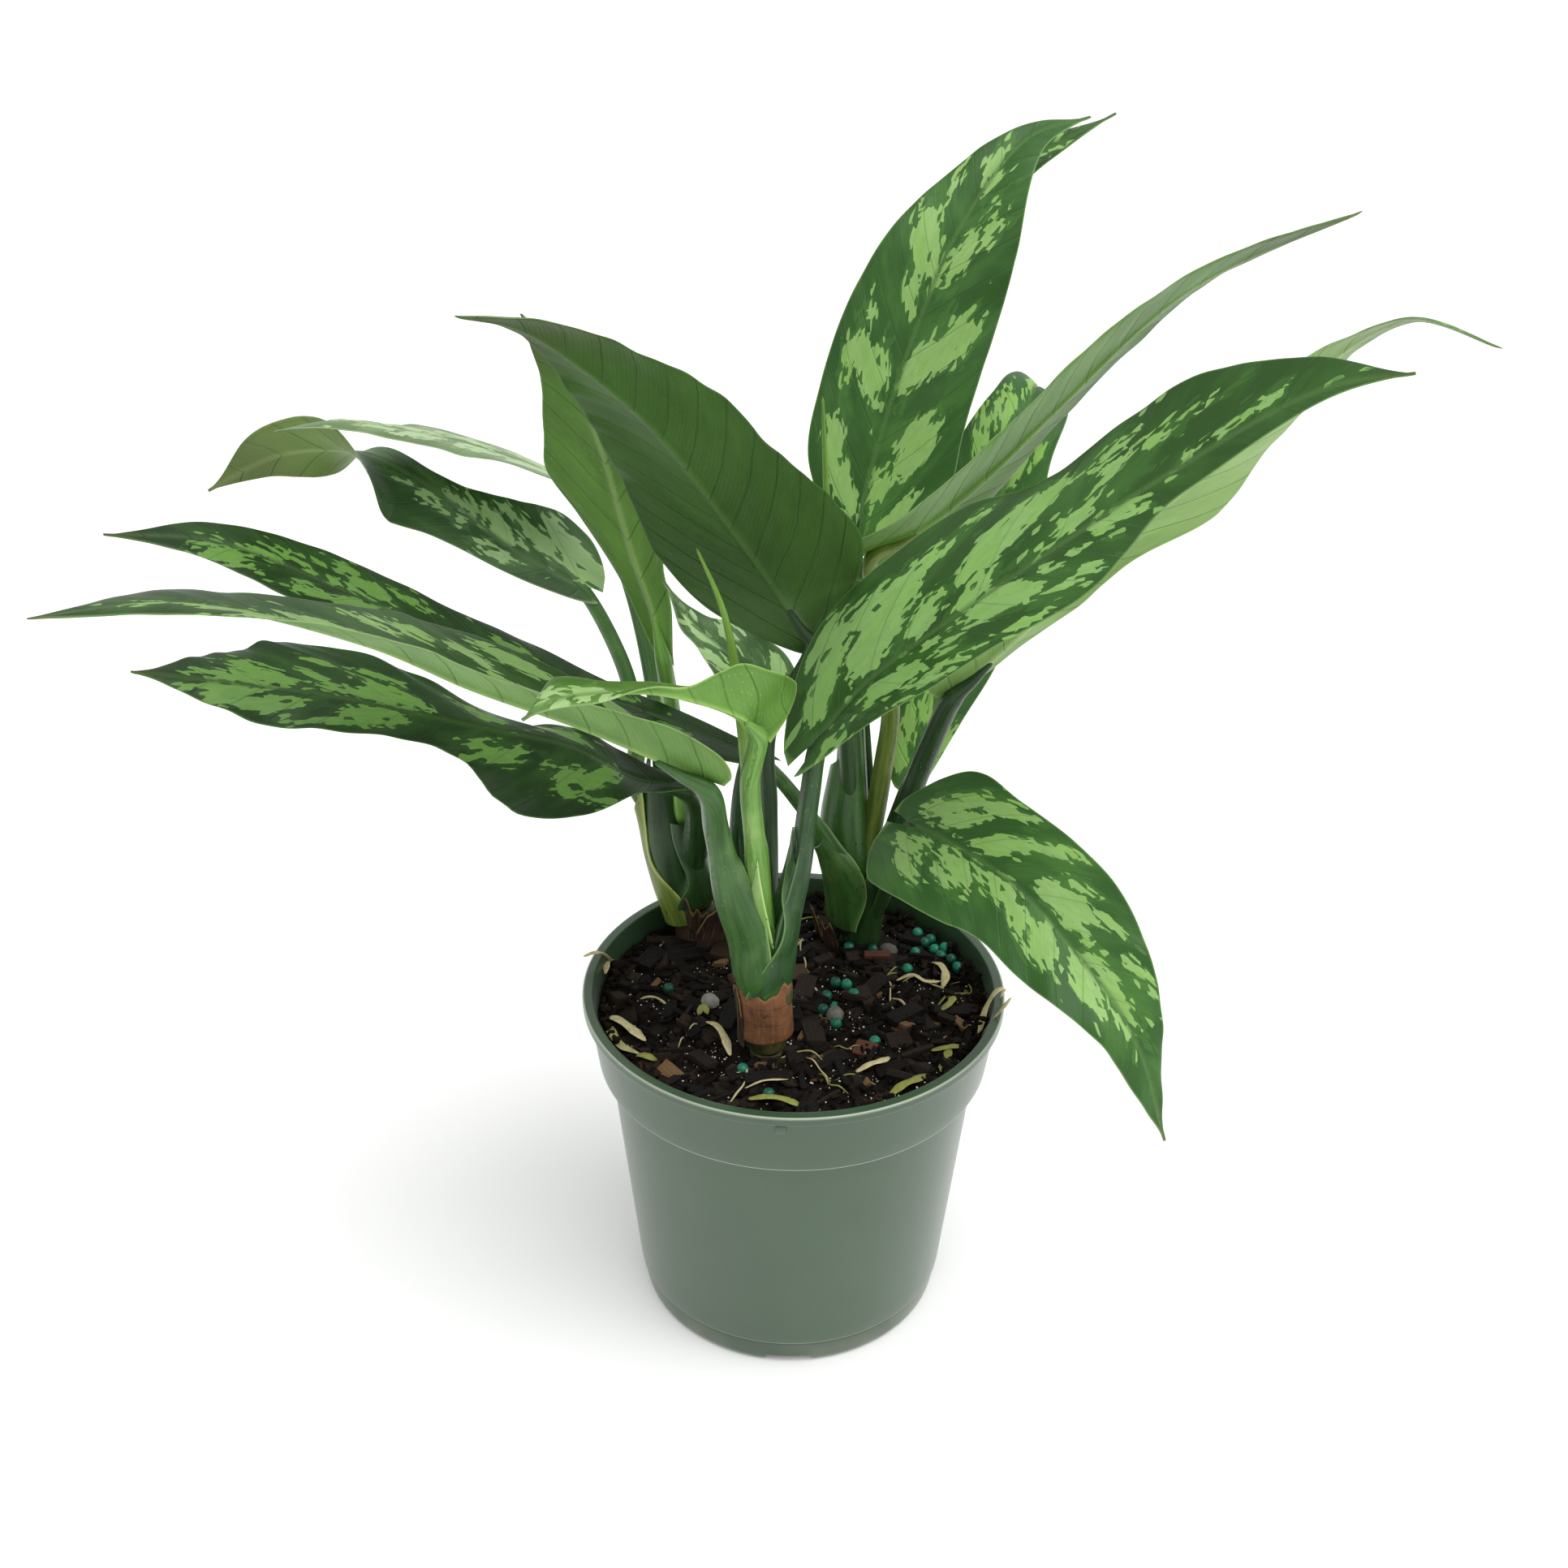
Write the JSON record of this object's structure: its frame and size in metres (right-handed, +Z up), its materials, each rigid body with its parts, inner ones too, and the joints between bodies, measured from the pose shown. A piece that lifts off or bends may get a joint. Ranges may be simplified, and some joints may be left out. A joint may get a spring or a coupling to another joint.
{
  "type": "potted chinese evergreen plant",
  "caption": "Aglaonema house plant in a round plastic nursery pot, with broad dark leaves that carry jagged pale patches, on short canes in potting soil.",
  "frame": {"origin": "centre of the pot's underside, on the surface that the pot stands on", "axes": "+Z up along the pot's axis, -Y towards the viewer of the picture, +X to the picture's right"},
  "size_m": [0.3125, 0.199, 0.3086],
  "materials": {
    "pot_plastic": "satin",
    "soil": "rough",
    "cane": "satin",
    "leaf": "satin",
    "young_leaf": "satin"
  },
  "bodies": {
    "root": {"pot": "pot_plastic", "soil": "soil", "cane_front": "cane", "cane_left": "cane", "cane_right": "cane", "leaf_upright": "leaf", "leaf_upright_rear": "leaf", "leaf_front_right": "leaf", "leaf_long_left": "leaf", "leaf_young": "leaf", "leaf_front_left": "leaf", "leaf_right_under": "leaf", "leaf_right_narrow": "leaf", "leaf_right_inner": "leaf", "leaf_right_drooping": "leaf", "leaf_lower_left": "leaf", "leaf_upper_left": "leaf", "leaf_rear_left_twisted": "leaf", "leaf_rear_left_arching": "leaf", "leaf_rear_upright": "leaf", "leaf_middle": "leaf", "spear_right": "young_leaf", "spear_front": "young_leaf"}
  },
  "joints": []
}
